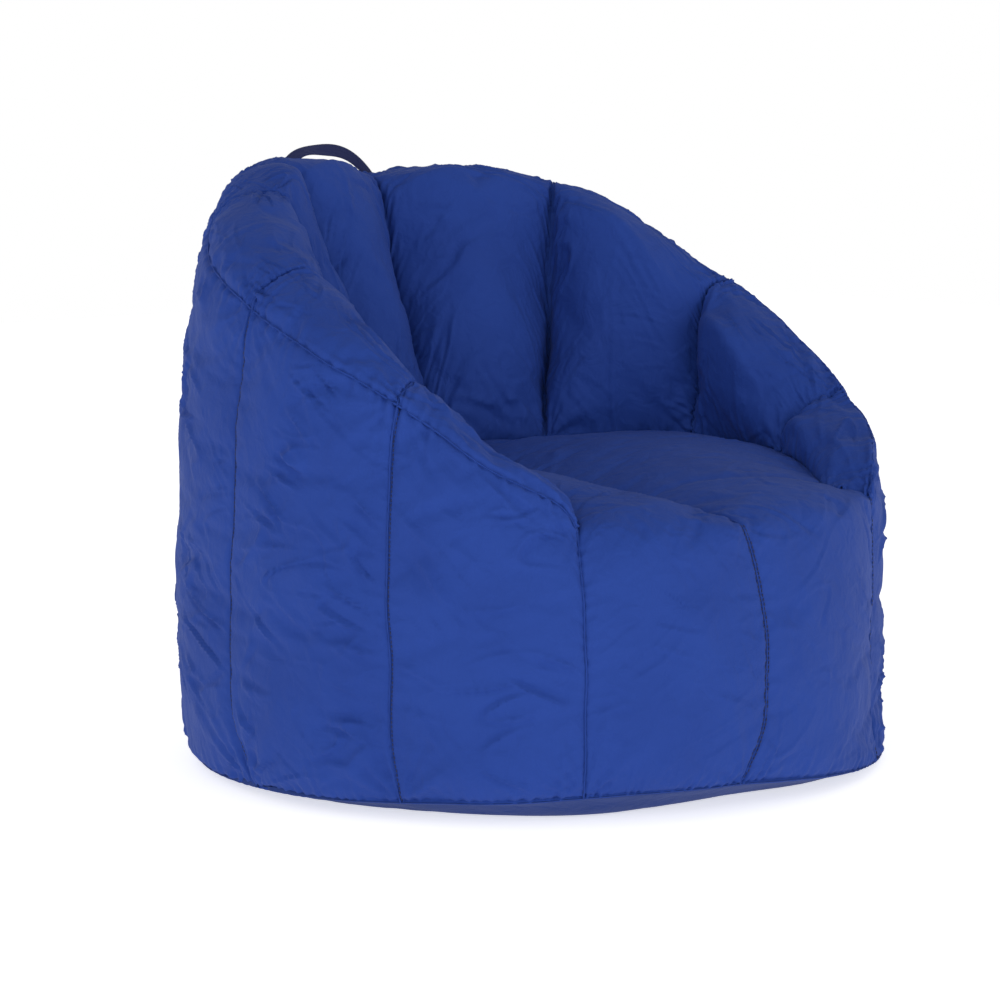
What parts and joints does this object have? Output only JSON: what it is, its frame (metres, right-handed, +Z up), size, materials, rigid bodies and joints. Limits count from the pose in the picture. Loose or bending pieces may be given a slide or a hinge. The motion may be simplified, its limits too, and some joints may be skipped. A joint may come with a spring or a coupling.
{
  "type": "bean bag chair",
  "caption": "Barrel-shaped bean bag chair with a sunken two-part seat, arms that rise into a high back, a carry handle on the back rim and a covered filling zip under the base.",
  "frame": {"origin": "on the floor, under the middle of the chair's bounding box", "axes": "+Z up, the sitter faces -Y, +X is the sitter's left"},
  "size_m": [0.8562, 0.8561, 0.746],
  "materials": {
    "cover_fabric": "tightly woven royal blue polyester with a faint sheen",
    "base_fabric": "the same blue polyester, slightly duller",
    "lining_fabric": "plain woven polyester",
    "bead_fill": "expanded polystyrene beads",
    "webbing": "navy polyester webbing",
    "zip_tape": "black nylon tape and coil",
    "zip_metal": "grey die-cast"
  },
  "bodies": {
    "body": {"outer_panel_arm_front_left": "cover_fabric", "outer_panel_arm_middle_left": "cover_fabric", "outer_panel_arm_rear_left": "cover_fabric", "outer_panel_back_side_left": "cover_fabric", "outer_panel_arm_front_right": "cover_fabric", "outer_panel_arm_middle_right": "cover_fabric", "outer_panel_arm_rear_right": "cover_fabric", "outer_panel_back_side_right": "cover_fabric", "outer_panel_back_centre": "cover_fabric", "inner_panel_arm_front_left": "cover_fabric", "inner_panel_arm_middle_left": "cover_fabric", "inner_panel_arm_rear_left": "cover_fabric", "inner_panel_back_side_left": "cover_fabric", "inner_panel_arm_front_right": "cover_fabric", "inner_panel_arm_middle_right": "cover_fabric", "inner_panel_arm_rear_right": "cover_fabric", "inner_panel_back_side_right": "cover_fabric", "inner_panel_back_centre": "cover_fabric", "seat_panel_left": "cover_fabric", "seat_panel_right": "cover_fabric", "bead_fill_arm_front_left": "bead_fill", "bead_fill_arm_middle_left": "bead_fill", "bead_fill_arm_rear_left": "bead_fill", "bead_fill_back_side_left": "bead_fill", "bead_fill_arm_front_right": "bead_fill", "bead_fill_arm_middle_right": "bead_fill", "bead_fill_arm_rear_right": "bead_fill", "bead_fill_back_side_right": "bead_fill", "bead_fill_back_centre": "bead_fill", "bead_fill_seat_left": "bead_fill", "bead_fill_seat_right": "bead_fill", "divider_web_1_left": "lining_fabric", "divider_web_2_left": "lining_fabric", "divider_web_3_left": "lining_fabric", "divider_web_4_left": "lining_fabric", "divider_web_5_left": "lining_fabric", "divider_web_1_right": "lining_fabric", "divider_web_2_right": "lining_fabric", "divider_web_3_right": "lining_fabric", "divider_web_4_right": "lining_fabric", "divider_web_5_right": "lining_fabric", "divider_web_seat": "lining_fabric", "base_panel_front": "base_fabric", "base_panel_rear": "base_fabric", "zip_tape_front": "zip_tape", "zip_tape_rear": "zip_tape", "zip_coil_front": "zip_tape", "zip_coil_rear": "zip_tape", "zip_stop_closed_end": "zip_metal", "zip_stop_open_end": "zip_metal", "handle_anchor_left": "webbing", "handle_anchor_right": "webbing"},
    "slider": {"zip_slider": "zip_metal"},
    "flap": {"zip_flap": "base_fabric"},
    "handle": {"carry_handle": "webbing"}
  },
  "joints": [
    {"name": "zip_slide", "type": "slide", "parent": "body", "child": "slider", "axis": [-1, 0, 0], "range_m": [0, 0.42]},
    {"name": "flap_hinge", "type": "hinge", "parent": "body", "child": "flap", "pos_m": [0, -0.023, 0.0014], "axis": [1, 0, 0], "range_deg": [-150, 0]},
    {"name": "handle_hinge", "type": "hinge", "parent": "body", "child": "handle", "pos_m": [0, 0.3924, 0.682], "axis": [1, 0, 0], "range_deg": [-120, 25], "stiffness_Nm_per_rad": 0.02}
  ]
}
